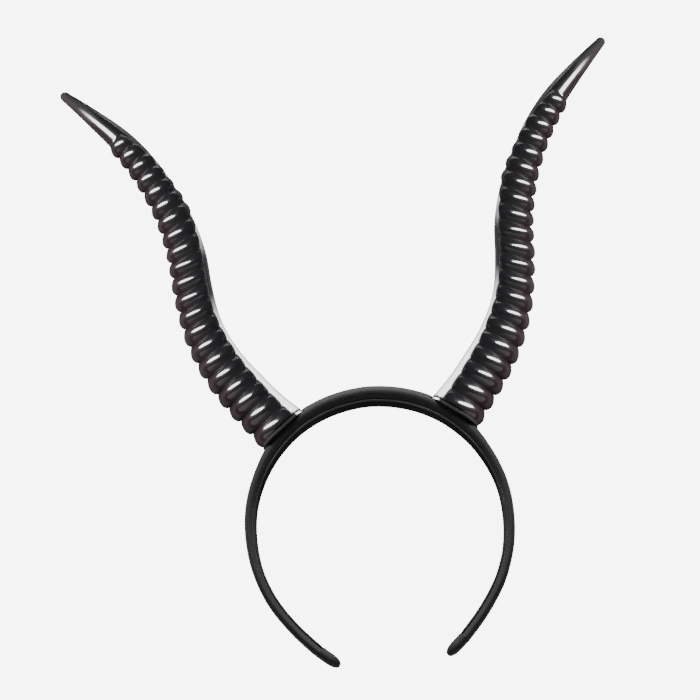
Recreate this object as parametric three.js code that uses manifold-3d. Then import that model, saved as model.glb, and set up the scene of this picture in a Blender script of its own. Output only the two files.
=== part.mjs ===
// A costume headband with two ringed horns, lying on its back.
// The horns' backs rest on the floor at z = 0 and the band's open ends are raised.
// Millimetres, +X to the wearer's side, +Y from the band towards the tips, +Z up.
// The origin is on the floor under the middle of the object.
import * as THREE from 'three';
import Module from 'manifold-3d';
import { ParametricGeometry } from 'three/addons/geometries/ParametricGeometry.js';
import { mergeVertices } from 'three/addons/utils/BufferGeometryUtils.js';

// Band: the padded arch over the head
const BAND_HALF_WIDTH = 68.6;     // middle to the outer face at ear height
const BAND_THICKNESS = 8.6;       // outer face to the lining's face, at the top
const BAND_DEPTH = 16;            // front edge to back edge, at the top
const BAND_END_ROUNDING = 7;      // length of the rounded end
const BAND_TILT = 18;             // degrees by which the arch rises from the floor towards its ends
const LINING_THICKNESS = 1;
const LINING_DEPTH = 12;          // at the top of the arch
const LINING_END_ANGLE = 148;     // degrees from the top

// Horn base: the flat plate between a horn and the band
const BASE_ANGLE = 37.8;          // degrees from the top of the arch to the plate's middle
const BASE_LENGTH = 27.7;         // along the band
const BASE_DEPTH = 21;
const BASE_THICKNESS = 1.7;
const BASE_CORNER_RADIUS = 7.5;
const BASE_SINK = 2.6;            // how far the plate's underside is pressed into the padding

// Horn
const HORN_RISE = 186.8;          // plate to tip, along Y
const HORN_WIDTH = 24.6;          // across the smooth core at the plate
const HORN_DEPTH = 24;            // front to back at the deepest place
const HORN_WALL = 1.5;
const HORN_TIP_RADIUS = 2.2;
const HORN_BACK_LIFT = 3;         // the back's height over the floor at the plate
const HORN_BACK_LIFT_LENGTH = 22; // length over which the back comes down to the floor
const HOLLOW_SHARE = 0.84;        // part of the horn's length that is hollow

// Rings moulded round the front and the outer side of a horn
const RING_COUNT = 21;
const RINGED_SHARE = 0.821;       // part of the horn's length that has rings
const RING_HEIGHT = 2.4;
const RING_HEIGHT_TOP = 1.8;
const RING_PITCH_TAPER = 0.115;   // lower rings are wider apart than upper ones by this share
const RING_LEAN = 0.75;           // under 1 the crests hang towards the base
const RING_ROUNDNESS = 0.7;       // under 1 the crests are fuller than the grooves
const RING_SLANT = 3;             // the outer end of a middle ring is lower by this much
const RING_DROOP = 1.6;           // the front of a middle ring is lower by this much
const RING_BACK_ANGLE = -54;      // degrees from the outer side round the back to a ring's end
const RING_END_SOFTNESS = 16;     // degrees over which a ring's end fades

const CLEARANCE = 0.3;            // gap between pieces that touch

// How finely the surfaces are divided
const HORN_SIDES = 20;
const HOLLOW_SEGMENTS = 16;
const HORN_LINE_DIVISIONS = 600;
const CORNER_SEGMENTS = 5;
const BAND_SEGMENTS = 45;
const LINING_SEGMENTS = 41;       // an odd number, so that one flat face lies under the top
const BAND_END_STEPS = [0, 0.07, 0.25, 0.55, 1];
const RING_STEPS = [0.02, 0.2, 0.45, 0.75];
const SMOOTH_TIP_STEPS = [0, 0.25, 0.5, 0.75];
const TIP_END_STEPS = [0, 0.5, 0.85, 1];

// Outer face of the arch: angle from the top, and shares of the band's half width, thickness and depth
const BAND_ROWS = [
  { angle: 0, reach: 1.104, thick: 1, deep: 1 },
  { angle: 30, reach: 1.093, thick: 1, deep: 1 },
  { angle: 45, reach: 1.0685, thick: 0.9, deep: 1 },
  { angle: 60, reach: 1.0345, thick: 0.735, deep: 0.99 },
  { angle: 75, reach: 1.0166, thick: 0.69, deep: 0.97 },
  { angle: 90, reach: 1, thick: 0.68, deep: 0.95 },
  { angle: 108, reach: 0.994, thick: 0.663, deep: 0.9 },
  { angle: 118, reach: 0.996, thick: 0.66, deep: 0.86 },
  { angle: 129, reach: 1, thick: 0.645, deep: 0.81 },
  { angle: 140, reach: 1.0188, thick: 0.648, deep: 0.76 },
  { angle: 150, reach: 1.051, thick: 0.64, deep: 0.72 },
  { angle: 157.5, reach: 1.0784, thick: 0.62, deep: 0.68 },
];

// Middle line and core of a horn: shares of the rise, of the width and of the depth
const HORN_ROWS = [
  { up: 0, out: 0, wide: 1, deep: 0.875 },
  { up: 0.1132, out: 0.0889, wide: 0.976, deep: 0.958 },
  { up: 0.1873, out: 0.1393, wide: 0.902, deep: 0.917 },
  { up: 0.2692, out: 0.1776, wide: 0.82, deep: 0.842 },
  { up: 0.3393, out: 0.196, wide: 0.775, deep: 0.79 },
  { up: 0.4236, out: 0.2065, wide: 0.768, deep: 0.77 },
  { up: 0.511, out: 0.2132, wide: 0.755, deep: 0.75 },
  { up: 0.6133, out: 0.2376, wide: 0.691, deep: 0.692 },
  { up: 0.6931, out: 0.2708, wide: 0.618, deep: 0.625 },
  { up: 0.7697, out: 0.3116, wide: 0.577, deep: 0.583 },
  { up: 0.8469, out: 0.3683, wide: 0.504, deep: 0.508 },
  { up: 0.9276, out: 0.447, wide: 0.35, deep: 0.35 },
  { up: 1, out: 0.5245, wide: 0.18, deep: 0.18 },
];

// Where the rings end on the inner side: share of the ringed length, degrees from the outer side
const RING_END_ROWS = [
  { along: 0, angle: 132 },
  { along: 0.15, angle: 138 },
  { along: 0.3, angle: 145 },
  { along: 0.42, angle: 138 },
  { along: 0.54, angle: 137 },
  { along: 0.62, angle: 148 },
  { along: 0.7, angle: 164 },
  { along: 0.79, angle: 158 },
  { along: 0.9, angle: 142 },
  { along: 1, angle: 112 },
];

// A smooth curve through one column of a table
function lookUp(rows, key, column, at) {
  let next = rows.findIndex((row) => row[key] >= at);
  next = next < 0 ? rows.length - 1 : Math.max(next, 1);
  const low = rows[next - 1];
  const high = rows[next];
  const before = rows[Math.max(next - 2, 0)];
  const after = rows[Math.min(next + 1, rows.length - 1)];
  const span = high[key] - low[key];
  const share = THREE.MathUtils.clamp((at - low[key]) / span, 0, 1);
  const slopeLow = (high[column] - before[column]) / (high[key] - before[key]) * span;
  const slopeHigh = (after[column] - low[column]) / (after[key] - low[key]) * span;
  const square = share * share;
  const cube = square * share;
  return (2 * cube - 3 * square + 1) * low[column] + (cube - 2 * square + share) * slopeLow
    + (3 * square - 2 * cube) * high[column] + (cube - square) * slopeHigh;
}

const wasm = await Module();
wasm.setup();

// A closed geometry as a solid that can be cut
function toSolid(geometry) {
  const bare = geometry.clone();
  bare.deleteAttribute('normal');
  bare.deleteAttribute('uv');
  const merged = mergeVertices(bare, 1e-4);
  const triangles = [];
  for (let i = 0; i < merged.index.count; i += 3) {
    const [a, b, c] = [merged.index.getX(i), merged.index.getX(i + 1), merged.index.getX(i + 2)];
    if (a !== b && b !== c && c !== a) triangles.push(a, b, c);
  }
  return new wasm.Manifold(new wasm.Mesh({
    numProp: 3,
    vertProperties: new Float32Array(merged.attributes.position.array),
    triVerts: new Uint32Array(triangles),
  }));
}

function toGeometry(solid) {
  const mesh = solid.getMesh();
  const geometry = new THREE.BufferGeometry();
  geometry.setAttribute('position', new THREE.BufferAttribute(mesh.vertProperties, 3));
  geometry.setIndex(new THREE.BufferAttribute(mesh.triVerts, 1));
  geometry.computeVertexNormals();
  return geometry;
}

// The outer face of the arch in its own plane, from one end over the top to the other
class ArchLine extends THREE.Curve {
  getPoint(t, target = new THREE.Vector3()) {
    const endAngle = BAND_ROWS.at(-1).angle;
    const angle = (2 * t - 1) * endAngle;
    const radius = lookUp(BAND_ROWS, 'angle', 'reach', Math.abs(angle)) * BAND_HALF_WIDTH;
    const radians = THREE.MathUtils.degToRad(angle);
    return target.set(radius * Math.sin(radians), radius * Math.cos(radians), 0);
  }
}

const arch = new ArchLine();
const archLength = arch.getLength();

// A place on the arch: point, outward direction, local thickness and depth
function archFrame(share) {
  const point = arch.getPointAt(share);
  const tangent = arch.getTangentAt(share);
  const angle = Math.abs(THREE.MathUtils.radToDeg(Math.atan2(point.x, point.y)));
  return {
    point,
    outward: new THREE.Vector3(-tangent.y, tangent.x, 0),
    thickness: lookUp(BAND_ROWS, 'angle', 'thick', angle) * BAND_THICKNESS,
    depth: lookUp(BAND_ROWS, 'angle', 'deep', angle) * BAND_DEPTH,
  };
}

// Outline of the padded cover across the band: x is the share of its depth, y of its thickness
const COVER_SECTION = [
  [-0.5, -0.62], [-0.42, -0.9], [-0.34, -1], [0.34, -1], [0.42, -0.9], [0.5, -0.62],
  [0.5, -0.36], [0.42, -0.12], [0.26, -0.02], [0, 0], [-0.26, -0.02], [-0.42, -0.12], [-0.5, -0.36],
];

function coverGeometry() {
  const section = COVER_SECTION;
  const ending = BAND_END_STEPS.map((step) => step * BAND_END_ROUNDING / archLength);
  const first = ending.at(-1);
  const shares = [...ending];
  for (let i = 1; i < BAND_SEGMENTS; i += 1) {
    shares.push(THREE.MathUtils.lerp(first, 1 - first, i / BAND_SEGMENTS));
  }
  shares.push(...ending.toReversed().map((share) => 1 - share));
  const place = (u, v, target) => {
    const share = shares[Math.round(v * (shares.length - 1))];
    const frame = archFrame(share);
    const fromEnd = Math.min(share, 1 - share) * archLength;
    const into = Math.min(fromEnd / BAND_END_ROUNDING, 1);
    const size = Math.sqrt(1 - (1 - into) ** 2);
    const [acrossShare, inShare] = section[Math.round((1 - u) * section.length) % section.length];
    const cover = frame.thickness - LINING_THICKNESS - CLEARANCE;
    const middle = -0.5 * cover;
    const inward = middle + (inShare * cover - middle) * size;
    target.copy(frame.point).addScaledVector(frame.outward, inward);
    target.z = acrossShare * frame.depth * size;
  };
  return new ParametricGeometry(place, section.length, shares.length - 1);
}

// The lining: a strip of even thickness under the cover
function liningGeometry() {
  const endAngle = BAND_ROWS.at(-1).angle;
  const trim = (endAngle - LINING_END_ANGLE) / (2 * endAngle);
  const corners = [[-0.5, 0], [0.5, 0], [0.5, 1], [-0.5, 1]];
  const middle = [0, 0.5];
  // The first and the last row of points close the strip's ends
  const rows = LINING_SEGMENTS + 2;
  const place = (u, v, target) => {
    const closed = v === 0 || v === 1;
    const along = THREE.MathUtils.clamp((v * rows - 1) / LINING_SEGMENTS, 0, 1);
    const share = THREE.MathUtils.lerp(trim, 1 - trim, along);
    const frame = archFrame(share);
    const corner = Math.round((1 - u) * corners.length) % corners.length;
    const [across, deep] = closed ? middle : corners[corner];
    const depth = LINING_DEPTH * frame.depth / BAND_DEPTH;
    const inward = frame.thickness - LINING_THICKNESS * deep;
    target.copy(frame.point).addScaledVector(frame.outward, -inward);
    target.z = across * depth;
  };
  return new ParametricGeometry(place, corners.length, rows);
}

// The plate's outline seen from the horn, grown by a margin all round
function plateGeometry(margin, thickness) {
  const halfLength = BASE_LENGTH / 2 + margin;
  const halfDepth = BASE_DEPTH / 2 + margin;
  const radius = BASE_CORNER_RADIUS + margin;
  const outline = new THREE.Shape();
  outline.moveTo(halfLength, -halfDepth + radius);
  outline.absarc(halfLength - radius, halfDepth - radius, radius, 0, Math.PI / 2);
  outline.absarc(-halfLength + radius, halfDepth - radius, radius, Math.PI / 2, Math.PI);
  outline.absarc(-halfLength + radius, -halfDepth + radius, radius, Math.PI, 1.5 * Math.PI);
  outline.absarc(halfLength - radius, -halfDepth + radius, radius, 1.5 * Math.PI, 2 * Math.PI);
  const options = { depth: thickness, bevelEnabled: false, curveSegments: CORNER_SEGMENTS };
  return new THREE.ExtrudeGeometry(outline, options).rotateX(-Math.PI / 2);
}

// Where a plate's underside sits in the arch: x along the band, y outward
function plateMatrix(side) {
  const radians = THREE.MathUtils.degToRad(BASE_ANGLE);
  const radius = lookUp(BAND_ROWS, 'angle', 'reach', BASE_ANGLE) * BAND_HALF_WIDTH - BASE_SINK;
  const position = new THREE.Vector3(side * radius * Math.sin(radians), radius * Math.cos(radians), 0);
  const turn = new THREE.Quaternion().setFromAxisAngle(new THREE.Vector3(0, 0, 1), -side * radians);
  return new THREE.Matrix4().compose(position, turn, new THREE.Vector3(1, 1, 1));
}

// Middle line of a horn, seen from the front, from the plate to the tip
class HornLine extends THREE.Curve {
  getPoint(t, target = new THREE.Vector3()) {
    return target.set(lookUp(HORN_ROWS, 'up', 'out', t) * HORN_RISE, t * HORN_RISE, 0);
  }
}

const hornLine = new HornLine();
hornLine.arcLengthDivisions = HORN_LINE_DIVISIONS;
const hornLength = hornLine.getLength();
const ringedLength = hornLength * RINGED_SHARE;

// The horn starts below its plate, because the oblique cut along the plate reaches that far
const footDistance = -BASE_DEPTH / 4;

// Core half width, half depth and middle line at a distance from the plate
function hornFrame(distance) {
  const share = THREE.MathUtils.clamp(distance / hornLength, 0, 1);
  const point = hornLine.getPointAt(share);
  const tangent = hornLine.getTangentAt(share);
  point.addScaledVector(tangent, Math.min(distance, 0));
  const up = THREE.MathUtils.clamp(point.y / HORN_RISE, 0, 1);
  const intoTip = Math.max(distance - (hornLength - HORN_TIP_RADIUS), 0) / HORN_TIP_RADIUS;
  const round = Math.sqrt(Math.max(1 - intoTip ** 2, 0));
  const halfDepth = lookUp(HORN_ROWS, 'up', 'deep', up) * HORN_DEPTH / 2;
  const lift = Math.max(1 - distance / HORN_BACK_LIFT_LENGTH, 0);
  return {
    point,
    outward: new THREE.Vector3(tangent.y, -tangent.x, 0),
    halfWidth: lookUp(HORN_ROWS, 'up', 'wide', up) * HORN_WIDTH / 2 * round,
    halfDepth: halfDepth * round,
    height: halfDepth + HORN_BACK_LIFT * lift ** 2,
  };
}

// Distance from the plate to a place counted in rings, such as 2.5 for the middle of the third
function ringDistance(count) {
  const share = count / RING_COUNT;
  return ringedLength * (share + RING_PITCH_TAPER * share * (1 - share));
}

// How far a ring stands out of the core, by place in rings and by angle from the outer side
function ringHeight(count, degrees) {
  const share = THREE.MathUtils.clamp(count / RING_COUNT, 0, 1);
  const phase = count - Math.floor(count);
  const wave = Math.sin(Math.PI * phase ** RING_LEAN) ** RING_ROUNDNESS;
  const innerEnd = lookUp(RING_END_ROWS, 'along', 'angle', share);
  const half = RING_END_SOFTNESS / 2;
  const inner = THREE.MathUtils.smoothstep(innerEnd - degrees, -half, half);
  const back = THREE.MathUtils.smoothstep(degrees - RING_BACK_ANGLE, -half, half);
  return THREE.MathUtils.lerp(RING_HEIGHT, RING_HEIGHT_TOP, share) * wave * inner * back;
}

// A point of the horn's surface, offset outwards; count is NaN where there are no rings
function hornPoint(distance, count, degrees, offset, side, target) {
  const radians = THREE.MathUtils.degToRad(degrees);
  const ringed = THREE.MathUtils.clamp(distance / ringedLength, 0, 1);
  const skew = Math.sin(Math.PI * ringed) ** 2;
  const shift = skew * (RING_SLANT * Math.cos(radians) + RING_DROOP * Math.sin(radians));
  const frame = hornFrame(distance - shift);
  const height = Number.isNaN(count) ? 0 : ringHeight(count, degrees);
  const across = Math.max(frame.halfWidth + offset, 0) * Math.cos(radians) + height * Math.cos(radians);
  const deep = Math.max(frame.halfDepth + offset, 0) * Math.sin(radians) + height * Math.sin(radians);
  target.copy(frame.point).addScaledVector(frame.outward, across);
  target.x *= side;
  target.z = frame.height + deep;
}

// The stations along a horn's outer face, from under the plate's top to the tip
function outerStations() {
  const stations = [{ distance: footDistance, count: NaN }];
  for (let ring = 0; ring < RING_COUNT; ring += 1) {
    for (const step of RING_STEPS) {
      stations.push({ distance: ringDistance(ring + step), count: ring + step });
    }
  }
  for (const share of SMOOTH_TIP_STEPS) {
    const distance = THREE.MathUtils.lerp(ringedLength, hornLength - HORN_TIP_RADIUS, share);
    stations.push({ distance, count: NaN });
  }
  for (const share of TIP_END_STEPS) {
    stations.push({ distance: hornLength - HORN_TIP_RADIUS * (1 - share), count: NaN });
  }
  return stations;
}

// A hollow horn as one closed skin: from the top of the hollow down its wall and up the outside to the tip
function hornGeometry(side) {
  const hollowTop = hornLength * HOLLOW_SHARE;
  const path = [];
  for (let i = 0; i <= HOLLOW_SEGMENTS; i += 1) {
    const distance = THREE.MathUtils.lerp(hollowTop, footDistance, i / HOLLOW_SEGMENTS);
    path.push({ distance, count: NaN, wall: i === 0 ? Infinity : HORN_WALL });
  }
  for (const station of outerStations()) path.push({ ...station, wall: 0 });
  const place = (u, v, target) => {
    const { distance, count, wall } = path[Math.round(v * (path.length - 1))];
    const turn = -(u % 1) * 360 * side;
    const degrees = THREE.MathUtils.euclideanModulo(turn + 180, 360) - 180;
    hornPoint(distance, count, degrees === -180 ? 180 : degrees, -wall, side, target);
  };
  return new ParametricGeometry(place, HORN_SIDES, path.length - 1);
}

const plastic = new THREE.MeshStandardMaterial({ color: 0x0c0b0d, roughness: 0.18, metalness: 0 });
const fabric = new THREE.MeshStandardMaterial({ color: 0x111111, roughness: 0.8, metalness: 0 });
const ribbon = new THREE.MeshStandardMaterial({ color: 0x1a1a1c, roughness: 0.6, metalness: 0 });

function named(name, geometry, material) {
  const mesh = new THREE.Mesh(geometry, material);
  mesh.name = name;
  return mesh;
}

const headband = new THREE.Group();

// The arch lies tilted: the plates' height on the horns sets how high its middle is
const tilt = THREE.MathUtils.degToRad(BAND_TILT);
const plateTop = new THREE.Vector3(0, BASE_THICKNESS, 0).applyMatrix4(plateMatrix(1));
const band = new THREE.Group();
band.rotation.x = -tilt;
band.position.z = hornFrame(0).height + plateTop.y * Math.sin(tilt);
band.updateMatrixWorld(true);
headband.add(band);

// The cover has a pocket under each plate, open outwards
let cover = toSolid(coverGeometry());
const pocketHeight = BAND_THICKNESS * 2;
for (const side of [-1, 1]) {
  const pocket = plateGeometry(CLEARANCE, pocketHeight).translate(0, -CLEARANCE, 0);
  cover = cover.subtract(toSolid(pocket.applyMatrix4(plateMatrix(side))));
}
band.add(named('band_cover', toGeometry(cover), fabric));
band.add(named('band_lining', toGeometry(toSolid(liningGeometry())), ribbon));

for (const [side, word] of [[-1, 'left'], [1, 'right']]) {
  const base = named(`horn_base_${word}`, toGeometry(toSolid(plateGeometry(0, BASE_THICKNESS))), plastic);
  base.applyMatrix4(plateMatrix(side));
  band.add(base);

  // The horn's foot is cut parallel to the plate, a small gap over it
  const onPlate = new THREE.Matrix4().multiplyMatrices(band.matrixWorld, plateMatrix(side));
  const origin = new THREE.Vector3(0, BASE_THICKNESS, 0).applyMatrix4(onPlate);
  const cutSize = 2 * Math.max(HORN_WIDTH, HORN_DEPTH);
  const below = new THREE.BoxGeometry(cutSize, cutSize, cutSize);
  below.translate(0, BASE_THICKNESS + CLEARANCE - cutSize / 2, 0).applyMatrix4(onPlate);
  const horn = toSolid(hornGeometry(side).translate(origin.x, origin.y, 0));
  headband.add(named(`horn_${word}`, toGeometry(horn.subtract(toSolid(below))), plastic));
}

// The origin goes to the floor under the middle of the object
headband.updateMatrixWorld(true);
const bounds = new THREE.Box3().setFromObject(headband, true);
const middle = bounds.getCenter(new THREE.Vector3());
headband.position.set(0, -middle.y, 0);

export default headband;
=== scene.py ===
# A costume headband with two ringed horns. It lies on its back on a pale table,
# the horns' backs on the table top and the band's open ends raised.
import math

import bmesh
import bpy
import numpy as np
from mathutils import Matrix, Vector


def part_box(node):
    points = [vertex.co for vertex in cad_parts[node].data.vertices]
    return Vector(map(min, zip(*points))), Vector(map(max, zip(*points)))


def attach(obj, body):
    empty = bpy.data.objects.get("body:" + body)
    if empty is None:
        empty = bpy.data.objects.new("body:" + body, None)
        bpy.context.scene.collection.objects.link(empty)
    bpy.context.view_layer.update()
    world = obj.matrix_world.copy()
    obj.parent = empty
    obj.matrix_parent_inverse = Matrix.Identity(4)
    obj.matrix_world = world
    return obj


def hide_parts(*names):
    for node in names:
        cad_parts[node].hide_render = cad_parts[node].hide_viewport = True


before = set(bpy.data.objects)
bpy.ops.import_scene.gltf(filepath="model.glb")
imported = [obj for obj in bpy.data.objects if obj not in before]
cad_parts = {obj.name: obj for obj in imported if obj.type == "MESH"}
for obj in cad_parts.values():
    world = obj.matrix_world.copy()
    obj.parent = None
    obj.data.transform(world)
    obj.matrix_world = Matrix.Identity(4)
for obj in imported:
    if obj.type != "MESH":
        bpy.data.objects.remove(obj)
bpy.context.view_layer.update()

# The table, the light and the camera
# A pale table top under the object, seen from straight above as in a catalogue picture.
# A long soft box hangs over each horn's outer side, one past the tips lights the band, and a
# wide one stands past the band's ends.
MM = 0.001
TABLE_SIZE = 6.0
TABLE_COLOUR = (0.60, 0.60, 0.61, 1)
TABLE_COLOUR_LIGHT = (0.62, 0.62, 0.625, 1)
TABLE_GRAIN_SCALE = 9.0
TABLE_GLOW = 7.0
ROOM_TINT = (0.9, 0.92, 1, 1)
ROOM_STRENGTH = 0.04
CAMERA_PLACE = (-5.98 * MM, 3.72 * MM, 1000 * MM)
CAMERA_TURN = math.radians(-5.85)
CAMERA_LENS = 97.9
# Degrees by which the long lamps turn about their own axis
LAMP_ROLL = -12


def shader_node(tree, kind, inputs=(), **settings):
    """A shader node with its settings, and its inputs from values or from other nodes' outputs."""
    made = tree.nodes.new(kind)
    for name, value in settings.items():
        setattr(made, name, value)
    for key, value in dict(inputs).items():
        if isinstance(value, bpy.types.NodeSocket):
            tree.links.new(value, made.inputs[key])
        else:
            made.inputs[key].default_value = value
    return made


def finish_of(name, **whole_surface):
    """A new material and its Principled shader; numbers that hold all over are set on its sockets."""
    material = bpy.data.materials.new(name)
    material.use_nodes = True
    tree = material.node_tree
    shader = tree.nodes["Principled BSDF"]
    for socket, value in whole_surface.items():
        shader.inputs[socket.replace("_", " ")].default_value = value
    return material, tree, shader


def soft_box(name, place, target, size, watts, lit=None, roll=0):
    """An oval flat lamp that faces its target. Where a collection is given, it lights only that."""
    lamp = bpy.data.lights.new(name, "AREA")
    lamp.shape = "ELLIPSE"
    lamp.size, lamp.size_y = size
    lamp.energy = watts
    stand = bpy.data.objects.new(name, lamp)
    bpy.context.scene.collection.objects.link(stand)
    stand.location = place
    facing = (Vector(target) - Vector(place)).to_track_quat("-Z", "Y").to_matrix()
    stand.rotation_euler = (facing @ Matrix.Rotation(math.radians(roll), 3, "Z")).to_euler()
    if lit is not None:
        stand.light_linking.receiver_collection = lit
    return stand


table_material, table_tree, table_shader = finish_of("table_top", Roughness=0.55)
table_grain = shader_node(table_tree, "ShaderNodeTexNoise", {"Scale": TABLE_GRAIN_SCALE, "Detail": 3.0})
table_tint = shader_node(table_tree, "ShaderNodeMix", {
    "Factor": table_grain.outputs["Fac"],
    6: TABLE_COLOUR,
    7: TABLE_COLOUR_LIGHT,
}, data_type="RGBA")
table_tree.links.new(table_tint.outputs[2], table_shader.inputs["Base Color"])
table_shader.inputs["Emission Color"].default_value = (1, 1, 1, 1)
# Straight to the eye the table is as bright as in the picture; the gloss on the plastic sees it dimmer
seen_straight = shader_node(table_tree, "ShaderNodeLightPath").outputs["Is Camera Ray"]
glow = shader_node(table_tree, "ShaderNodeMath", {0: seen_straight, 1: TABLE_GLOW}, operation="MULTIPLY")
table_tree.links.new(glow.outputs[0], table_shader.inputs["Emission Strength"])
half = TABLE_SIZE / 2
table_mesh = bpy.data.meshes.new("table_top")
table_corners = [(-half, -half, 0), (half, -half, 0), (half, half, 0), (-half, half, 0)]
table_mesh.from_pydata(table_corners, [], [(0, 1, 2, 3)])
table_mesh.materials.append(table_material)
table = bpy.data.objects.new("table_top", table_mesh)
bpy.context.scene.collection.objects.link(table)

room = bpy.data.worlds.new("dim_room")
room.use_nodes = True
room_light = room.node_tree.nodes["Background"]
room_light.inputs["Color"].default_value = ROOM_TINT
room_light.inputs["Strength"].default_value = ROOM_STRENGTH
bpy.context.scene.world = room

camera_data = bpy.data.cameras.new("camera")
camera_data.lens = CAMERA_LENS
camera = bpy.data.objects.new("camera", camera_data)
camera.location = CAMERA_PLACE
camera.rotation_euler = (0, 0, CAMERA_TURN)
bpy.context.scene.collection.objects.link(camera)
bpy.context.scene.camera = camera

lit_pieces = {}
for group_name in ("left_horn", "right_horn", "band_and_table"):
    lit_pieces[group_name] = bpy.data.collections.new(group_name)
lit_pieces["band_and_table"].objects.link(table)
for side, word in ((-1, "left"), (1, "right")):
    only = lit_pieces[f"{word}_horn"]
    soft_box(
        f"outer_lamp_{word}", place=(side * 0.60, 0.27, 0.72), target=(side * 0.10, 0.05, 0),
        size=(0.42, 1.8), watts=76, lit=only, roll=side * LAMP_ROLL,
    )
    # This one fills the flank between the horns without showing in the gloss
    fill = soft_box(
        f"flank_lamp_{word}", place=(-side * 0.60, 0.04, 0.26), target=(side * 0.08, 0.04, 0),
        size=(0.3, 0.3), watts=12.5, lit=only,
    )
    fill.visible_glossy = False
soft_box(
    "top_lamp", place=(0, 1.1, 0.26), target=(0, -0.02, 0),
    size=(0.9, 0.3), watts=19, lit=lit_pieces["band_and_table"],
)
soft_box("low_lamp", place=(0, -1.05, 0.70), target=(0, 0, 0), size=(3.0, 0.8), watts=4.0)

# Band cover
# A padded arch that grips the head: black ribbed cloth drawn over a springy plastic core and
# foam, glued along its underside. Each open end is folded into a blunt bullet shape.
BAND_HALF_WIDTH = 68.6 * MM
BAND_THICKNESS = 8.6 * MM
BAND_DEPTH = 16 * MM
BAND_END_ROUNDING = 7 * MM
END_FULLNESS = 2.5
BAND_TILT = math.radians(18)
LINING_THICKNESS = 1 * MM
LINING_END_ANGLE = 148
GAP = 0.3 * MM
# Outer face of the arch: degrees from the top, then shares of half width, thickness and depth
ARCH_ROWS = [
    (0, 1.104, 1, 1),
    (30, 1.093, 1, 1),
    (45, 1.0685, 0.9, 1),
    (60, 1.0345, 0.735, 0.99),
    (75, 1.0166, 0.69, 0.97),
    (90, 1, 0.68, 0.95),
    (108, 0.994, 0.663, 0.9),
    (118, 0.996, 0.66, 0.86),
    (129, 1, 0.645, 0.81),
    (140, 1.0188, 0.648, 0.76),
    (150, 1.051, 0.64, 0.72),
    (157.5, 1.0784, 0.62, 0.68),
]
ARCH_ANGLES, ARCH_REACH, ARCH_THICK, ARCH_DEEP = np.array(ARCH_ROWS, float).T
# Outline of the cover across the band: share of its depth, share of its thickness
COVER_OUTLINE = [
    (-0.5, -0.62), (-0.42, -0.9), (-0.34, -1), (0, -1), (0.34, -1), (0.42, -0.9), (0.5, -0.62),
    (0.5, -0.36), (0.42, -0.12), (0.26, -0.02), (0, 0), (-0.26, -0.02), (-0.42, -0.12), (-0.5, -0.36),
]
COVER_SIDES = 84
COVER_STATIONS = 520
PUCKER_HEIGHT = 0.12 * MM
# Puckers show only this share of the depth away from the band's middle
PUCKER_FROM = 0.37
# Waves of the puckers: length over 2 pi, share of the height, and how they slant with which
# column of the outline
PUCKER_WAVES = [(2.3 * MM, 1, 5, 1), (3.7 * MM, 0.7, 9, 0), (11 * MM, 0.8, 3, 0)]
CLOTH_BLACK = (0.023, 0.022, 0.0235, 1)
CLOTH_WORN = (0.053, 0.05, 0.052, 1)
HEM_LENGTH = 0.4 * MM
RIB_PITCH = 0.9 * MM
THREAD_PITCH = 0.32 * MM
RIB_RELIEF = 0.12 * MM
RIB_SHARE = 0.75
RIB_DRIFT = 0.7
RIB_DRIFT_SCALE = 260.0
FUZZ_SCALE = 2600.0

# Horn plates' sizes, which the cover is pressed in under
PLATE_ANGLE = math.radians(37.8)
PLATE_LENGTH = 27.7 * MM
PLATE_DEPTH = 21 * MM
PLATE_THICKNESS = 1.7 * MM
PLATE_CORNER = 7.5 * MM
PLATE_SINK = 2.6 * MM
# The padding under and beside a plate: how far down it is pressed, how far beside the plate it
# starts to rise, how steeply (a smaller value is steeper), and how far out and in it gives way
PRESSED_DOWN = 0.1 * MM
PRESS_MARGIN = 0.05 * MM
PLATE_RISE = 0.06 * MM
PRESS_REACH = 8 * MM
PRESS_DEPTH = 6 * MM


def curve_through(places, values, at):
    """A smooth curve through a few given values."""
    places, values, at = (np.asarray(x, float) for x in (places, values, at))
    high = np.clip(np.searchsorted(places, at), 1, len(places) - 1)
    low = high - 1
    before = np.maximum(low - 1, 0)
    after = np.minimum(high + 1, len(places) - 1)
    span = places[high] - places[low]
    share = np.clip((at - places[low]) / span, 0, 1)
    slope_low = (values[high] - values[before]) / (places[high] - places[before]) * span
    slope_high = (values[after] - values[low]) / (places[after] - places[low]) * span
    square, cube = share**2, share**3
    return (
        (2 * cube - 3 * square + 1) * values[low]
        + (cube - 2 * square + share) * slope_low
        + (3 * square - 2 * cube) * values[high]
        + (cube - square) * slope_high
    )


def skin(name, points, ring_size, material, closed_ends=True, **marks):
    """A closed mesh through rings of points, smooth shaded, with a number per point for each mark."""
    rings = len(points) // ring_size
    faces = []
    for ring in range(rings - 1):
        for i in range(ring_size):
            j = (i + 1) % ring_size
            a, b = ring * ring_size, (ring + 1) * ring_size
            faces.append((a + i, a + j, b + j, b + i))
    mesh = bpy.data.meshes.new(name)
    mesh.from_pydata([tuple(p) for p in points], [], faces)
    for mark, values in marks.items():
        wide = np.ndim(values) == 2
        layer = mesh.attributes.new(mark, "FLOAT_VECTOR" if wide else "FLOAT", "POINT")
        layer.data.foreach_set("vector" if wide else "value", np.asarray(values, np.float32).ravel())
    shape = bmesh.new()
    shape.from_mesh(mesh)
    bmesh.ops.remove_doubles(shape, verts=shape.verts, dist=0.002 * MM)
    if closed_ends:
        rims = [e for e in shape.edges if e.is_boundary]
        if rims:
            bmesh.ops.holes_fill(shape, edges=rims, sides=0)
    bmesh.ops.recalc_face_normals(shape, faces=shape.faces)
    shape.to_mesh(mesh)
    shape.free()
    mesh.shade_smooth()
    mesh.materials.append(material)
    made = bpy.data.objects.new(name, mesh)
    bpy.context.scene.collection.objects.link(made)
    return made


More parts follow.
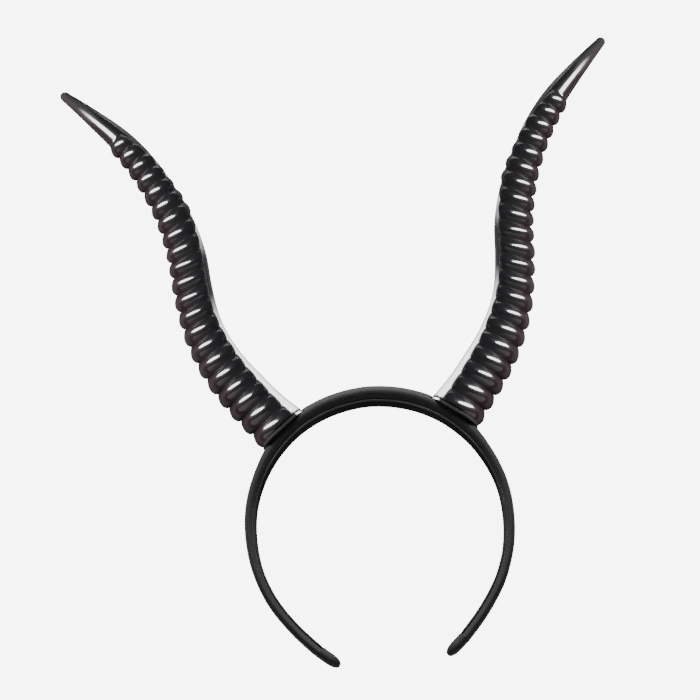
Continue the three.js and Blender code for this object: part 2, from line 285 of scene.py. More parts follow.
# The arch line in its own plane, walked from the left end over the top to the right end
walk_angles = np.linspace(-ARCH_ANGLES[-1], ARCH_ANGLES[-1], 4001)
walk_radius = curve_through(ARCH_ANGLES, ARCH_REACH, abs(walk_angles)) * BAND_HALF_WIDTH
walk_x = walk_radius * np.sin(np.radians(walk_angles))
walk_y = walk_radius * np.cos(np.radians(walk_angles))
walk = np.concatenate([[0], np.cumsum(np.hypot(np.diff(walk_x), np.diff(walk_y)))])
ARCH_LENGTH = walk[-1]


def arch_places(distances):
    """Point, outward direction, thickness and depth of the band at distances along its arch."""
    angle = np.interp(distances, walk, walk_angles)
    point = np.stack([np.interp(distances, walk, walk_x), np.interp(distances, walk, walk_y)], -1)
    heading = np.stack([
        np.interp(distances, walk, np.gradient(walk_x, walk)),
        np.interp(distances, walk, np.gradient(walk_y, walk)),
    ], -1)
    heading /= np.linalg.norm(heading, axis=-1, keepdims=True)
    outward = np.stack([-heading[..., 1], heading[..., 0]], -1)
    thick = curve_through(ARCH_ANGLES, ARCH_THICK, abs(angle)) * BAND_THICKNESS
    deep = curve_through(ARCH_ANGLES, ARCH_DEEP, abs(angle)) * BAND_DEPTH
    return point, outward, thick, deep


def plate_turn(side):
    """Where a horn plate's underside sits in the arch: x along the band, y outward."""
    reach = curve_through(ARCH_ANGLES, ARCH_REACH, math.degrees(PLATE_ANGLE))
    radius = float(reach) * BAND_HALF_WIDTH - PLATE_SINK
    place = Vector((side * radius * math.sin(PLATE_ANGLE), radius * math.cos(PLATE_ANGLE), 0))
    return Matrix.Translation(place) @ Matrix.Rotation(-side * PLATE_ANGLE, 4, "Z")


# The arch lies tilted; the right horn plate of the frame says where
plate_low, plate_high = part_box("horn_base_right")
tilted = Matrix.Rotation(-BAND_TILT, 4, "X")
plate_middle = plate_turn(1) @ Vector((0, PLATE_THICKNESS / 2, 0))
band_lie = Matrix.Translation((plate_low + plate_high) / 2 - tilted @ plate_middle) @ tilted


def lay_down(points):
    """Points of the arch's own plane, moved to where the band lies."""
    turn, shift = np.array(band_lie.to_3x3()), np.array(band_lie.translation)
    return points @ turn.T + shift


def closed_outline(corners, count):
    """A smooth closed outline through given corners, evenly divided along its length."""
    corners = np.array(corners, float)
    fine = []
    for i in range(len(corners)):
        a, b, c, d = (corners[(i + k) % len(corners)] for k in (-1, 0, 1, 2))
        for t in np.linspace(0, 1, 24, endpoint=False):
            fine.append(0.5 * (2 * b + (c - a) * t + (2 * a - 5 * b + 4 * c - d) * t**2
                               + (3 * b - a - 3 * c + d) * t**3))
    fine = np.array(fine + fine[:1])
    walked = np.concatenate([[0], np.cumsum(np.linalg.norm(np.diff(fine, axis=0), axis=1))])
    even = np.linspace(0, walked[-1], count, endpoint=False)
    return np.stack([np.interp(even, walked, fine[:, k]) for k in (0, 1)], -1)


def press_under_plates(points):
    """The padding gives way under the horn plates and rises softly beside them."""
    for side in (-1, 1):
        into_plate = plate_turn(side).inverted()
        turn, shift = np.array(into_plate.to_3x3()), np.array(into_plate.translation)
        seen = points @ turn.T + shift
        beside = np.maximum(abs(seen[:, 0]) - PLATE_LENGTH / 2 - PRESS_MARGIN, 0)
        ceiling = beside**2 / PLATE_RISE - PRESSED_DOWN
        over = (seen[:, 1] > ceiling) & (seen[:, 1] > -PRESS_DEPTH) & (beside < PRESS_REACH)
        seen[over, 1] = ceiling[over]
        back = plate_turn(side)
        points = seen @ np.array(back.to_3x3()).T + np.array(back.translation)
    return points


def woven_ribs():
    """Ribbed ribbon: ribs across the band and fine threads along it, as a height and a shade."""
    group = bpy.data.node_groups.new("woven_ribs", "ShaderNodeTree")
    for socket in ("Rib Pitch", "Thread Pitch"):
        group.interface.new_socket(socket, in_out="INPUT", socket_type="NodeSocketFloat")
    group.interface.new_socket("Height", in_out="OUTPUT", socket_type="NodeSocketFloat")
    group.interface.new_socket("Shade", in_out="OUTPUT", socket_type="NodeSocketFloat")
    given = group.nodes.new("NodeGroupInput")
    place = shader_node(group, "ShaderNodeAttribute", attribute_name="cloth_place")
    axes = shader_node(group, "ShaderNodeSeparateXYZ", {0: place.outputs["Vector"]})

    def reckon(operation, *values):
        return shader_node(group, "ShaderNodeMath", dict(enumerate(values)), operation=operation).outputs[0]

    drift = shader_node(group, "ShaderNodeTexNoise", {"Scale": RIB_DRIFT_SCALE, "Detail": 2.0}).outputs["Fac"]
    even = reckon("DIVIDE", axes.outputs["X"], given.outputs["Rib Pitch"])
    along = reckon("ADD", even, reckon("MULTIPLY", drift, RIB_DRIFT))
    rib = reckon("ABSOLUTE", reckon("SINE", reckon("MULTIPLY", along, math.pi)))
    across = reckon("DIVIDE", axes.outputs["Y"], given.outputs["Thread Pitch"])
    thread = reckon("ABSOLUTE", reckon("SINE", reckon("MULTIPLY", across, math.pi)))
    height = reckon("ADD", reckon("MULTIPLY", rib, RIB_SHARE), reckon("MULTIPLY", thread, 1 - RIB_SHARE))
    fuzz = shader_node(group, "ShaderNodeTexNoise", {"Scale": FUZZ_SCALE, "Detail": 3.0}).outputs["Fac"]
    shade = reckon("ADD", reckon("MULTIPLY", height, 0.5), reckon("MULTIPLY", fuzz, 0.5))
    result = group.nodes.new("NodeGroupOutput")
    group.links.new(height, result.inputs["Height"])
    group.links.new(shade, result.inputs["Shade"])
    return group


WOVEN_RIBS = woven_ribs()


def cloth_finish(name, dark, light, rib_pitch, thread_pitch, relief_height, **whole_surface):
    """Ribbed cloth between a dark and a light tone."""
    material, tree, shader = finish_of(name, **whole_surface)
    ribs = shader_node(tree, "ShaderNodeGroup", node_tree=WOVEN_RIBS)
    ribs.inputs["Rib Pitch"].default_value = rib_pitch
    ribs.inputs["Thread Pitch"].default_value = thread_pitch
    tone = shader_node(tree, "ShaderNodeMix", {
        "Factor": ribs.outputs["Shade"],
        6: dark,
        7: light,
    }, data_type="RGBA")
    relief = shader_node(tree, "ShaderNodeBump", {
        "Height": ribs.outputs["Height"],
        "Distance": relief_height,
        "Strength": 0.6,
    })
    tree.links.new(tone.outputs[2], shader.inputs["Base Color"])
    tree.links.new(relief.outputs[0], shader.inputs["Normal"])
    return material


cover_material = cloth_finish(
    "black_ribbed_cloth", CLOTH_BLACK, CLOTH_WORN, RIB_PITCH, THREAD_PITCH, RIB_RELIEF,
    Roughness=0.62, Sheen_Weight=0.35, Sheen_Roughness=0.4,
)

# Stations lie closer together where the ends round off, by the plates' ends and at the hem
end_steps = BAND_END_ROUNDING * (1 - np.cos(np.linspace(0, math.pi / 2, 24)))
lining_start = np.interp(-LINING_END_ANGLE, walk_angles, walk)
half_stations = [end_steps, np.linspace(BAND_END_ROUNDING, ARCH_LENGTH / 2, COVER_STATIONS // 2)]
half_stations.append(lining_start - np.linspace(0, 2 * HEM_LENGTH, 15))
for end in (-1, 1):
    plate_end = plate_turn(-1) @ Vector((end * PLATE_LENGTH / 2, 0, 0))
    end_angle = math.degrees(math.atan2(plate_end.x, plate_end.y))
    half_stations.append(np.interp(end_angle, walk_angles, walk) + np.linspace(-1, 1, 21) * MM)
half_stations = np.unique(np.concatenate(half_stations))
stations = np.concatenate([half_stations[:-1], (ARCH_LENGTH - half_stations)[::-1]])
point, outward, thick, deep = arch_places(stations)
outline = closed_outline(COVER_OUTLINE, COVER_SIDES)
from_end = np.minimum(stations, ARCH_LENGTH - stations)
into_end = np.clip(from_end / BAND_END_ROUNDING, 0, 1)
fullness = (1 - (1 - into_end) ** END_FULLNESS) ** (1 / END_FULLNESS)
# Past the lining's ends the cloth is folded in, as thick there as cover and lining together
over_lining = np.clip((from_end - (lining_start - HEM_LENGTH)) / HEM_LENGTH, 0, 1)
cover_thick = thick - (LINING_THICKNESS + GAP) * over_lining**2 * (3 - 2 * over_lining)
inward = -0.5 * cover_thick[:, None] + (outline[None, :, 1] + 0.5) * (cover_thick * fullness)[:, None]
across = outline[None, :, 0] * (deep * fullness)[:, None]
# Slack in the cloth: small puckers on the sides, none where the lining holds it
slack = np.clip(-outline[None, :, 1], 0, 1) * (abs(outline[None, :, 0]) > PUCKER_FROM) * fullness[:, None]
wander = np.zeros((len(stations), COVER_SIDES))
for length, share, slant, column in PUCKER_WAVES:
    wander += share * np.sin(stations[:, None] / length + slant * outline[None, :, column])
wander /= sum(share for _, share, _, _ in PUCKER_WAVES)
inward = inward + PUCKER_HEIGHT * slack * wander
flat = point[:, None, :] + outward[:, None, :] * inward[..., None]
cover_points = np.concatenate([flat, across[..., None]], -1).reshape(-1, 3)
cover_points = lay_down(press_under_plates(cover_points))
around = np.linspace(0, 1, COVER_SIDES, endpoint=False) * 2 * (BAND_DEPTH + BAND_THICKNESS)
cloth_place = np.stack(np.broadcast_arrays(stations[:, None], around[None, :], 0.0), -1).reshape(-1, 3)
band_cover = skin("band_cover_cloth", cover_points, COVER_SIDES, cover_material, cloth_place=cloth_place)
lit_pieces["band_and_table"].objects.link(band_cover)
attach(band_cover, "root")
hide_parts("band_cover")

# Lining
# A strip of narrow ribbed ribbon glued under the cover, against the head. Its two woven
# edges are rolled into a thin bead, painted in a pale tone as a painted highlight.
LINING_DEPTH = 12 * MM
LINING_TAPER = 4 * MM
LINING_STATIONS = 420
LINING_SIDES = 72
# The ribbon's cut ends keep a little of its width and thickness
LINING_END_KEPT = 0.1 * MM
LINING_END_THINNING = 0.15 * MM
RIBBON_RIB_PITCH = 0.6 * MM
RIBBON_THREAD_PITCH = 0.3 * MM
RIBBON_RELIEF = 0.08 * MM
RIBBON_BLACK = (0.006, 0.006, 0.0065, 1)
RIBBON_LIGHT = (0.014, 0.014, 0.0145, 1)
# Pale tone of the bead: a painted highlight
BEAD_PAINTED_HIGHLIGHT = (0.15, 0.148, 0.15, 1)
# The bead's painted highlight starts at this share of the depth, and is painted dimmer past these degrees
# from the top
BEAD_FROM = 0.42
BEAD_SOFTNESS = 0.03
BEAD_SHADE_ANGLES = (42, 62)
BEAD_HIGHLIGHT_KEPT = 0.3
# Outline of the ribbon across the band: share of its depth, share of its thickness inwards
LINING_OUTLINE = [
    (-0.5, 0.35), (-0.485, -0.05), (-0.45, -0.25), (-0.41, -0.27), (-0.3, -0.27), (0, -0.27), (0.3, -0.27),
    (0.41, -0.27), (0.45, -0.25), (0.485, -0.05), (0.5, 0.35), (0.485, 0.75), (0.45, 0.95), (0.41, 0.84),
    (0.3, 0.9), (0, 1), (-0.3, 0.9), (-0.41, 0.84), (-0.45, 0.95), (-0.485, 0.75),
]
lining_material = cloth_finish(
    "black_ribbed_ribbon", RIBBON_BLACK, RIBBON_LIGHT,
    RIBBON_RIB_PITCH, RIBBON_THREAD_PITCH, RIBBON_RELIEF,
    Roughness=0.6, Sheen_Weight=0.05, Sheen_Roughness=0.35, Specular_IOR_Level=0.25,
)
lining_tree = lining_material.node_tree
lining_shader = lining_tree.nodes["Principled BSDF"]
# The bead's pale tone is a painted highlight
bead = shader_node(lining_tree, "ShaderNodeAttribute", attribute_name="bead").outputs["Fac"]
bead_painted_tone = shader_node(lining_tree, "ShaderNodeMix", {
    "Factor": bead,
    6: lining_shader.inputs["Base Color"].links[0].from_socket,
    7: BEAD_PAINTED_HIGHLIGHT,
}, data_type="RGBA")
lining_tree.links.new(bead_painted_tone.outputs[2], lining_shader.inputs["Base Color"])

stations = np.linspace(lining_start, ARCH_LENGTH - lining_start, LINING_STATIONS)
point, outward, thick, deep = arch_places(stations)
outline = closed_outline(LINING_OUTLINE, LINING_SIDES)
from_end = np.minimum(stations, ARCH_LENGTH - stations) - lining_start
taper = np.sqrt(1 - (1 - np.clip((from_end + LINING_END_KEPT) / LINING_TAPER, 0, 1)) ** 2)
thinning = np.sqrt(1 - (1 - np.clip((from_end + LINING_END_KEPT) / LINING_END_THINNING, 0, 1)) ** 2)
depth = LINING_DEPTH * deep / BAND_DEPTH * taper
under = thick[:, None] - LINING_THICKNESS
inward = -(under + LINING_THICKNESS * outline[None, :, 1] * thinning[:, None])
across = outline[None, :, 0] * depth[:, None]
flat = point[:, None, :] + outward[:, None, :] * inward[..., None]
lining_points = lay_down(np.concatenate([flat, across[..., None]], -1).reshape(-1, 3))
around = np.linspace(0, 2 * LINING_DEPTH, LINING_SIDES, endpoint=False)
cloth_place = np.stack(np.broadcast_arrays(stations[:, None], around[None, :], 0.0), -1).reshape(-1, 3)
# Where the bead's painted highlight goes, dimmed down the sides as painted shade
bead_highlight_mask = np.clip((abs(outline[None, :, 0]) - BEAD_FROM) / BEAD_SOFTNESS, 0, 1)
from_top = abs(np.interp(stations, walk, walk_angles))
bead_highlight_mask = bead_highlight_mask * np.interp(from_top, BEAD_SHADE_ANGLES, (1, BEAD_HIGHLIGHT_KEPT))[:, None]
band_lining = skin(
    "band_lining_ribbon", lining_points, LINING_SIDES, lining_material,
    cloth_place=cloth_place, bead=bead_highlight_mask.ravel(),
)
lit_pieces["band_and_table"].objects.link(band_lining)
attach(band_lining, "root")
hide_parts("band_lining")

# Horn plates
# The flat foot under each horn: a rounded plate of the horns' black plastic, its edges
# eased in the mould, glued down into the padding.
PLATE_EDGE = 0.4 * MM
PLATE_EDGE_STEPS = 6
PLATE_CORNER_STEPS = 14
# The plate's inner end, painted pale as a painted reflection: share of the eased edges left dark, share of
# the corner's radius
REFLECTION_RIM_MARGIN = 0.95
REFLECTION_END_LENGTH = 0.6
PLASTIC_BLACK = (0.0035, 0.0032, 0.0038, 1)
# Brownish painted sheen for the horns' outer side
PLASTIC_BROWN_SHEEN = (0.014, 0.005, 0.0068, 1)
DUST = (0.05, 0.048, 0.045, 1)
# Pale colour painted on the inner flank as a painted reflection, and its painted grey edge
FLANK_PAINTED_REFLECTION = (0.86, 0.85, 0.88, 1)
FLANK_PAINTED_GREY_EDGE = (0.42, 0.42, 0.44, 1)
# Layer weights between which the flank turns to its painted reflection, and between which its painted grey
# edge starts
PAINTED_REFLECTION_FACING = (0.12, 0.28)
GREY_EDGE_FACING = (0.64, 0.74)
WAVE_SCALE = 180
PEEL_SCALE = 1400
WAVE_RELIEF = 0.10 * MM
DUST_SHARE = 0.04
ROUGHNESS_RANGE = (0.24, 0.36)
WORN_ROUGHNESS = 0.55
COAT_WEIGHT = 0.9


def moulded_unevenness():
    """Slow waves and fine orange peel of moulded plastic, as a tone, a gloss change and a height."""
    group = bpy.data.node_groups.new("moulded_unevenness", "ShaderNodeTree")
    for socket in ("Wave Scale", "Peel Scale"):
        group.interface.new_socket(socket, in_out="INPUT", socket_type="NodeSocketFloat")
    for socket in ("Tone", "Gloss", "Height"):
        group.interface.new_socket(socket, in_out="OUTPUT", socket_type="NodeSocketFloat")
    given = group.nodes.new("NodeGroupInput")
    result = group.nodes.new("NodeGroupOutput")
    place = shader_node(group, "ShaderNodeTexCoord").outputs["Object"]
    wave = shader_node(group, "ShaderNodeTexNoise", {
        "Vector": place,
        "Scale": given.outputs["Wave Scale"],
        "Detail": 2.0,
    }).outputs["Fac"]
    peel = shader_node(group, "ShaderNodeTexNoise", {
        "Vector": place,
        "Scale": given.outputs["Peel Scale"],
        "Detail": 2.0,
    }).outputs["Fac"]
    group.links.new(wave, result.inputs["Tone"])
    group.links.new(peel, result.inputs["Gloss"])
    group.links.new(wave, result.inputs["Height"])
    return group


MOULDED_UNEVENNESS = moulded_unevenness()


def plastic_finish(name):
    """Glossy black plastic: a brownish painted sheen on the outer side, a pale painted reflection on the
    inner flank, dusty in the grooves, dull where it is worn.
    """
    material, tree, shader = finish_of(
        name, Coat_Roughness=0.07, Coat_IOR=1.7, Specular_IOR_Level=0.2,
    )
    uneven = shader_node(tree, "ShaderNodeGroup", node_tree=MOULDED_UNEVENNESS)
    uneven.inputs["Wave Scale"].default_value = WAVE_SCALE
    uneven.inputs["Peel Scale"].default_value = PEEL_SCALE
    groove = shader_node(tree, "ShaderNodeAttribute", attribute_name="groove").outputs["Fac"]
    # The brown on the outer side is a painted sheen
    brown = shader_node(tree, "ShaderNodeAttribute", attribute_name="outer").outputs["Fac"]
    painted_sheen_share = shader_node(tree, "ShaderNodeMath", {0: brown, 1: uneven.outputs["Tone"]}, operation="MULTIPLY")
    tone = shader_node(tree, "ShaderNodeMix", {
        "Factor": painted_sheen_share.outputs[0],
        6: PLASTIC_BLACK,
        7: PLASTIC_BROWN_SHEEN,
    }, data_type="RGBA")
    dusty = shader_node(tree, "ShaderNodeMath", {0: groove, 1: DUST_SHARE}, operation="MULTIPLY")
    dusted = shader_node(tree, "ShaderNodeMix", {
        "Factor": dusty.outputs[0],
        6: tone.outputs[2],
        7: DUST,
    }, data_type="RGBA")
    # The pale inner flank is a painted reflection: seen at a low angle its colour turns as pale as
    # the table it would mirror, with a painted grey line where it turns away
    facing = shader_node(tree, "ShaderNodeLayerWeight", {"Blend": 0.5}).outputs["Facing"]
    low_angle = shader_node(tree, "ShaderNodeMapRange", {
        "Value": facing,
        "From Min": PAINTED_REFLECTION_FACING[0],
        "From Max": PAINTED_REFLECTION_FACING[1],
    })
    turning = shader_node(tree, "ShaderNodeMapRange", {
        "Value": facing,
        "From Min": GREY_EDGE_FACING[0],
        "From Max": GREY_EDGE_FACING[1],
    })
    flank = shader_node(tree, "ShaderNodeAttribute", attribute_name="flank").outputs["Fac"]
    painted_reflection_share = shader_node(tree, "ShaderNodeMath", {0: flank, 1: low_angle.outputs[0]}, operation="MULTIPLY")
    pale = shader_node(tree, "ShaderNodeMix", {
        "Factor": turning.outputs[0],
        6: FLANK_PAINTED_REFLECTION,
        7: FLANK_PAINTED_GREY_EDGE,
    }, data_type="RGBA")
    with_painted_reflection = shader_node(tree, "ShaderNodeMix", {
        "Factor": painted_reflection_share.outputs[0],
        6: dusted.outputs[2],
        7: pale.outputs[2],
    }, data_type="RGBA")
    dullness = shader_node(tree, "ShaderNodeMapRange", {
        "Value": uneven.outputs["Gloss"],
        "To Min": ROUGHNESS_RANGE[0],
        "To Max": ROUGHNESS_RANGE[1],
    })
    relief = shader_node(tree, "ShaderNodeBump", {
        "Height": uneven.outputs["Height"],
        "Distance": WAVE_RELIEF,
        "Strength": 0.15,
    })
    dull = shader_node(tree, "ShaderNodeAttribute", attribute_name="dull").outputs["Fac"]
    polish = shader_node(tree, "ShaderNodeMapRange", {"Value": dull, "To Min": COAT_WEIGHT, "To Max": 0.0})
    worn = shader_node(tree, "ShaderNodeAttribute", attribute_name="worn").outputs["Fac"]
    rough = shader_node(tree, "ShaderNodeMath", {
        0: worn,
        1: WORN_ROUGHNESS,
        2: dullness.outputs[0],
    }, operation="MULTIPLY_ADD")
    tree.links.new(with_painted_reflection.outputs[2], shader.inputs["Base Color"])
    tree.links.new(rough.outputs[0], shader.inputs["Roughness"])
    tree.links.new(polish.outputs[0], shader.inputs["Coat Weight"])
    tree.links.new(relief.outputs[0], shader.inputs["Normal"])
    return material


plastic = plastic_finish("black_moulded_plastic")


def plate_ring(inset, height):
    """One rounded rectangle of the plate, inset from its full outline."""
    corner = PLATE_CORNER - inset
    points = []
    for quarter, (x, z) in enumerate([(1, 1), (-1, 1), (-1, -1), (1, -1)]):
        for step in np.linspace(0, math.pi / 2, PLATE_CORNER_STEPS):
            turn = quarter * math.pi / 2 + step
            points.append((
                x * (PLATE_LENGTH / 2 - PLATE_CORNER) + corner * math.cos(turn),
                height,
                z * (PLATE_DEPTH / 2 - PLATE_CORNER) + corner * math.sin(turn),
            ))
    return points


for side, word in ((-1, "left"), (1, "right")):
    rings = []
    eased = [(math.sin(lean), math.cos(lean)) for lean in np.linspace(0, math.pi / 2, PLATE_EDGE_STEPS)]
    for sine, cosine in eased:
        rings.append(plate_ring(PLATE_EDGE * (1 - sine), PLATE_EDGE * (1 - cosine)))
    for sine, cosine in eased:
        rings.append(plate_ring(PLATE_EDGE * (1 - cosine), PLATE_THICKNESS - PLATE_EDGE * (1 - sine)))
    local = np.array(rings).reshape(-1, 3)
    # The plate's rounded end between the horns is painted pale like the flank over it: a painted reflection
    margin = REFLECTION_RIM_MARGIN * PLATE_EDGE
    on_rim = (local[:, 1] > margin) & (local[:, 1] < PLATE_THICKNESS - margin)
    inner_end = on_rim & (-side * local[:, 0] > PLATE_LENGTH / 2 - REFLECTION_END_LENGTH * PLATE_CORNER)
    turn = plate_turn(side)
    local = local @ np.array(turn.to_3x3()).T + np.array(turn.translation)
    ring_size = len(rings[0])
    plate = skin(
        f"horn_plate_{word}", lay_down(local), ring_size, plastic,
        flank=inner_end.astype(float), dull=1.0 - inner_end, worn=1.0 - inner_end,
    )
    lit_pieces[f"{word}_horn"].objects.link(plate)
    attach(plate, "root")
    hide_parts(f"horn_base_{word}")

# Horns
# Two hollow horns of thin black plastic, moulded in one piece each: rings round the front and
# the outer side, a smooth inner flank and a smooth tip. A faint mould line runs along them.
HORN_RISE = 186.8 * MM
HORN_WIDTH = 24.6 * MM
HORN_DEPTH = 24 * MM
HORN_WALL = 1.5 * MM
TIP_RADIUS = 2.2 * MM
BACK_LIFT = 3 * MM
BACK_LIFT_LENGTH = 22 * MM
HOLLOW_SHARE = 0.84
RING_COUNT = 21
RINGED_SHARE = 0.821
RING_HEIGHT = 2.4 * MM
RING_HEIGHT_TOP = 1.8 * MM
RING_PITCH_TAPER = 0.115
RING_LEAN = 0.75
RING_LEAN_FRONT = 1.4
RING_ROUNDNESS = 0.7
RING_SLANT = 3 * MM
RING_DROOP = 1.6 * MM
RING_BACK_ANGLE = -54
RING_END_SOFTNESS = 16
GROOVE_SOFTNESS = 0.1
FLANK_REACH = 1.5
FLANK_FLARE = 2.2 * MM
FLANK_FLARE_LENGTH = 22 * MM
MOULD_LINE_HEIGHT = 0.04 * MM
MOULD_LINE_WIDTH = 1.0
# Shares of the smooth tip between which it turns dull, and depths in a groove between which it does
WORN_TIP = (0.28, 0.7)
DULL_GROOVE = (0.15, 0.6)
# Degrees past the rings' ends over which the flank's painted reflection sets in, and the angles at which it
# ends
FLANK_START = (1, 6)
FLANK_BACK = (200, 225)
# Height over the plate between which the painted shadow line at the foot ends
FOOT_PAINTED_SHADOW = (0.9 * MM, 1.3 * MM)
# How finely a horn is divided: hollow, foot under the plate's top, each ring, smooth tip, its end
HOLLOW_STEPS = 20
FOOT_STEPS = 6
RING_STEPS = 22
SMOOTH_STEPS = 40
TIP_STEPS = 9
# Middle line and core: share of the rise, share outwards, shares of the width and of the depth
HORN_ROWS = [
    (0, 0, 1, 0.875),
    (0.1132, 0.0889, 0.976, 0.958),
    (0.1873, 0.1393, 0.902, 0.917),
    (0.2692, 0.1776, 0.82, 0.842),
    (0.3393, 0.196, 0.775, 0.79),
    (0.4236, 0.2065, 0.768, 0.77),
    (0.511, 0.2132, 0.755, 0.75),
    (0.6133, 0.2376, 0.691, 0.692),
    (0.6931, 0.2708, 0.618, 0.625),
    (0.7697, 0.3116, 0.577, 0.583),
    (0.8469, 0.3683, 0.504, 0.508),
    (0.9276, 0.447, 0.35, 0.35),
    (1, 0.5245, 0.18, 0.18),
]
HORN_UP, HORN_OUT, HORN_WIDE, HORN_DEEP = np.array(HORN_ROWS, float).T
# Inner side: share of the ringed length, degrees from the outer side to the rings' ends, and
# how strongly the painted reflection shows on the smooth flank beyond them
RING_END_ROWS = [
    (0, 132, 0.78),
    (0.15, 138, 1),
    (0.3, 145, 1),
    (0.42, 138, 0.05),
    (0.54, 137, 0),
    (0.62, 148, 0.5),
    (0.7, 164, 1),
    (0.79, 158, 0.9),
    (0.9, 142, 0),
    (1, 112, 0),
]
RING_END_ALONG, RING_END_ANGLE, FLANK_REFLECTION_STRENGTH = np.array(RING_END_ROWS, float).T

rise = np.linspace(0, 1, 3001)
line_x = curve_through(HORN_UP, HORN_OUT, rise) * HORN_RISE
line_y = rise * HORN_RISE
line = np.concatenate([[0], np.cumsum(np.hypot(np.diff(line_x), np.diff(line_y)))])
HORN_LENGTH = line[-1]
RINGED_LENGTH = HORN_LENGTH * RINGED_SHARE
line_heading = np.stack([np.gradient(line_x, line), np.gradient(line_y, line)], -1)
line_heading /= np.linalg.norm(line_heading, axis=1, keepdims=True)


def ease(low, high, at):
    """From 0 at low to 1 at high, with soft ends."""
    share = np.clip((at - low) / (high - low), 0, 1)
    return share * share * (3 - 2 * share)


def ring_distance(count):
    """Distance from the plate to a place counted in rings; the lower rings are wider apart."""
    share = count / RING_COUNT
    return RINGED_LENGTH * (share + RING_PITCH_TAPER * share * (1 - share))


def horn_places(distance, count, turn, inset):
    """Points of the horn's surface and its marks; count is below 0 where there are no rings."""
    degrees = (turn + 180) % 360 - 180
    degrees = np.where(degrees == -180, 180, degrees)
    radians = np.radians(degrees)
    skew = np.sin(math.pi * np.clip(distance / RINGED_LENGTH, 0, 1)) ** 2
    at = distance - skew * (RING_SLANT * np.cos(radians) + RING_DROOP * np.sin(radians))
    clear = np.clip(at, 0, HORN_LENGTH)
    heading = np.stack([np.interp(clear, line, line_heading[:, k]) for k in (0, 1)], -1)
    middle = np.stack([np.interp(clear, line, line_x), np.interp(clear, line, line_y)], -1)
    middle = middle + heading * np.minimum(at, 0)[..., None]
    up = np.clip(middle[..., 1] / HORN_RISE, 0, 1)
    into_tip = np.clip((at - (HORN_LENGTH - TIP_RADIUS)) / TIP_RADIUS, 0, 1)
    rounding = np.sqrt(1 - into_tip**2)
    half_deep = curve_through(HORN_UP, HORN_DEEP, up) * HORN_DEPTH / 2
    half_wide = curve_through(HORN_UP, HORN_WIDE, up) * HORN_WIDTH / 2
    height = half_deep + BACK_LIFT * np.maximum(1 - at / BACK_LIFT_LENGTH, 0) ** 2
    share = np.clip(count / RING_COUNT, 0, 1)
    phase = count - np.floor(count)
    lean = RING_LEAN + (RING_LEAN_FRONT - RING_LEAN) * np.maximum(np.sin(radians), 0) ** 2
    wave = np.maximum(np.sin(math.pi * phase**lean), 0) ** RING_ROUNDNESS
    floor, crest = GROOVE_SOFTNESS, math.hypot(1, GROOVE_SOFTNESS)
    wave = (np.hypot(wave, floor) - floor) / (crest - floor)
    inner_end = curve_through(RING_END_ALONG, RING_END_ANGLE, share)
    fade = ease(-RING_END_SOFTNESS / 2, RING_END_SOFTNESS / 2, inner_end - degrees)
    fade = fade * ease(-RING_END_SOFTNESS / 2, RING_END_SOFTNESS / 2, degrees - RING_BACK_ANGLE)
    ringed = np.where(count >= 0, fade, 0)
    relief = (RING_HEIGHT + (RING_HEIGHT_TOP - RING_HEIGHT) * share) * wave * ringed
    from_seam = np.minimum(abs(degrees), 180 - abs(degrees))
    seam = np.where(inset == 0, MOULD_LINE_HEIGHT, 0) * np.exp(-((from_seam / MOULD_LINE_WIDTH) ** 2))
    relief = relief + seam * rounding
    flare = FLANK_FLARE * np.clip(1 - at / FLANK_FLARE_LENGTH, 0, 1) ** 2 * np.maximum(-np.cos(radians), 0)
    wide = (np.maximum(half_wide * rounding + flare - inset, 0) + relief) * np.cos(radians)
    deep = (np.maximum(half_deep * rounding - inset, 0) + relief) * np.sin(radians)
    x = middle[..., 0] + heading[..., 1] * wide
    y = middle[..., 1] - heading[..., 0] * wide
    # Where the pale painted reflection goes on the smooth inner flank
    past_rings = degrees % 360 - inner_end + FLANK_REACH * (1 - wave)
    flank = ease(*FLANK_START, past_rings) * (1 - ease(*FLANK_BACK, degrees % 360)) * (count >= 0)
    flank = flank * np.clip(curve_through(RING_END_ALONG, FLANK_REFLECTION_STRENGTH, share), 0, 1) * (degrees % 360 > 90)
    along_tip = (at - RINGED_LENGTH) / (HORN_LENGTH - RINGED_LENGTH)
    worn = np.maximum(ease(*WORN_TIP, along_tip), distance < 0)
    marks = {
        "groove": (1 - wave) ** 2 * ringed,
        "dull": np.maximum(ease(*DULL_GROOVE, 1 - wave) * ringed, worn),
        "worn": worn,
        # outer: where the brownish painted sheen goes
        "outer": np.clip(np.cos(radians), 0, 1) * (inset == 0),
        "flank": flank,
    }
    return np.stack([x, y, height + deep], -1), marks


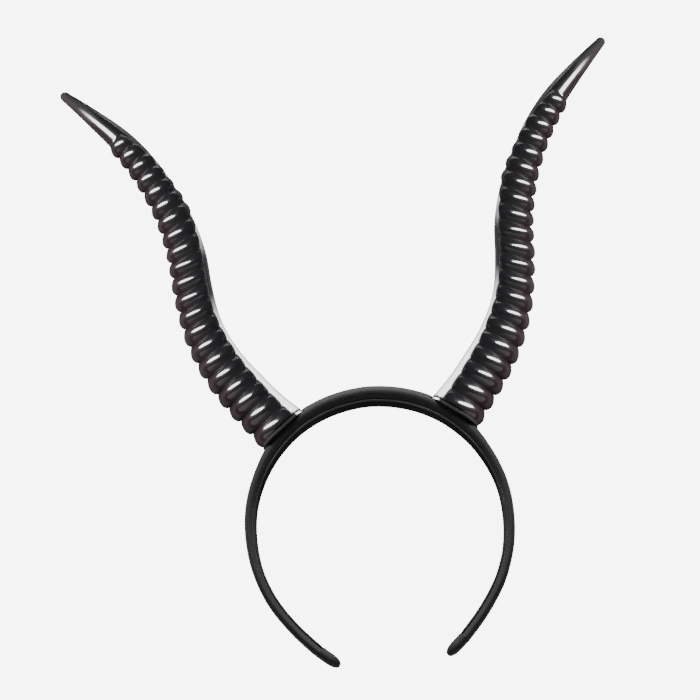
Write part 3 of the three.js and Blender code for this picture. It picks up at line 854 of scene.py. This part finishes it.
# Rows of one closed skin: distance from the plate, count of rings, inset from the core. The
# first one closes the hollow's top, the last one the tip.
ring_steps = (1 - np.cos(np.linspace(0, math.pi, RING_STEPS)[:-1])) / 2
tip_steps = np.sin(np.linspace(0, math.pi / 2, TIP_STEPS))
foot_start = -PLATE_DEPTH / 4
skin_rows = []
for distance in np.linspace(HORN_LENGTH * HOLLOW_SHARE, foot_start, HOLLOW_STEPS):
    skin_rows.append((distance, -1, 1.0 if not skin_rows else HORN_WALL))
for distance in np.linspace(foot_start, 0, FOOT_STEPS, endpoint=False):
    skin_rows.append((distance, -1, 0))
for ring in range(RING_COUNT):
    for step in ring_steps:
        skin_rows.append((ring_distance(ring + step), ring + step, 0))
for distance in np.linspace(RINGED_LENGTH, HORN_LENGTH - TIP_RADIUS, SMOOTH_STEPS, endpoint=False):
    skin_rows.append((distance, -1, 0))
for step in tip_steps:
    skin_rows.append((HORN_LENGTH - TIP_RADIUS * (1 - step), -1, 0))
distance, count, inset = (column[:, None] for column in np.array(skin_rows, float).T)
# Degrees round a horn: close together by the mould line, closer in front than at the back
seam_turns = [-2.0, -1.2, -0.6, 0, 0.6, 1.2, 2.0]
front_turns = np.arange(4, 177.6, 2.5)
back_turns = np.arange(184, 357, 4)
turns = np.unique(np.concatenate([front_turns, back_turns, seam_turns, np.add(seam_turns, 180)]) % 360)

for side, word in ((-1, "left"), (1, "right")):
    foot = band_lie @ plate_turn(side) @ Vector((0, PLATE_THICKNESS, 0))
    points, marks = horn_places(*np.broadcast_arrays(distance, count, turns[None, :], inset))
    points[..., 0] = points[..., 0] * side + foot.x
    points[..., 1] += foot.y
    # A painted shadow line at the foot: the flank's painted reflection stops short of the plate
    over_plate = band_lie @ plate_turn(side) @ Vector((0, PLATE_THICKNESS + GAP, 0))
    plate_up = (band_lie.to_3x3() @ plate_turn(side).to_3x3()) @ Vector((0, 1, 0))
    above = (points - np.array(over_plate)) @ np.array(plate_up)
    marks["flank"] = marks["flank"] * ease(*FOOT_PAINTED_SHADOW, above)
    horn = skin(
        f"horn_shell_{word}", points.reshape(-1, 3), len(turns), plastic, closed_ends=False,
        **{mark: values.ravel() for mark, values in marks.items()},
    )
    # The horn's foot is cut parallel to the plate, a hair over it
    shape = bmesh.new()
    shape.from_mesh(horn.data)
    bmesh.ops.bisect_plane(
        shape, geom=shape.verts[:] + shape.edges[:] + shape.faces[:], dist=0.001 * MM,
        plane_co=over_plate, plane_no=plate_up, clear_inner=True,
    )
    rims = [e for e in shape.edges if e.is_boundary]
    bmesh.ops.bridge_loops(shape, edges=rims)
    for edge in rims:
        edge.smooth = False
    bmesh.ops.recalc_face_normals(shape, faces=shape.faces)
    shape.to_mesh(horn.data)
    shape.free()
    lit_pieces[f"{word}_horn"].objects.link(horn)
    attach(horn, "root")
    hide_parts(f"horn_{word}")
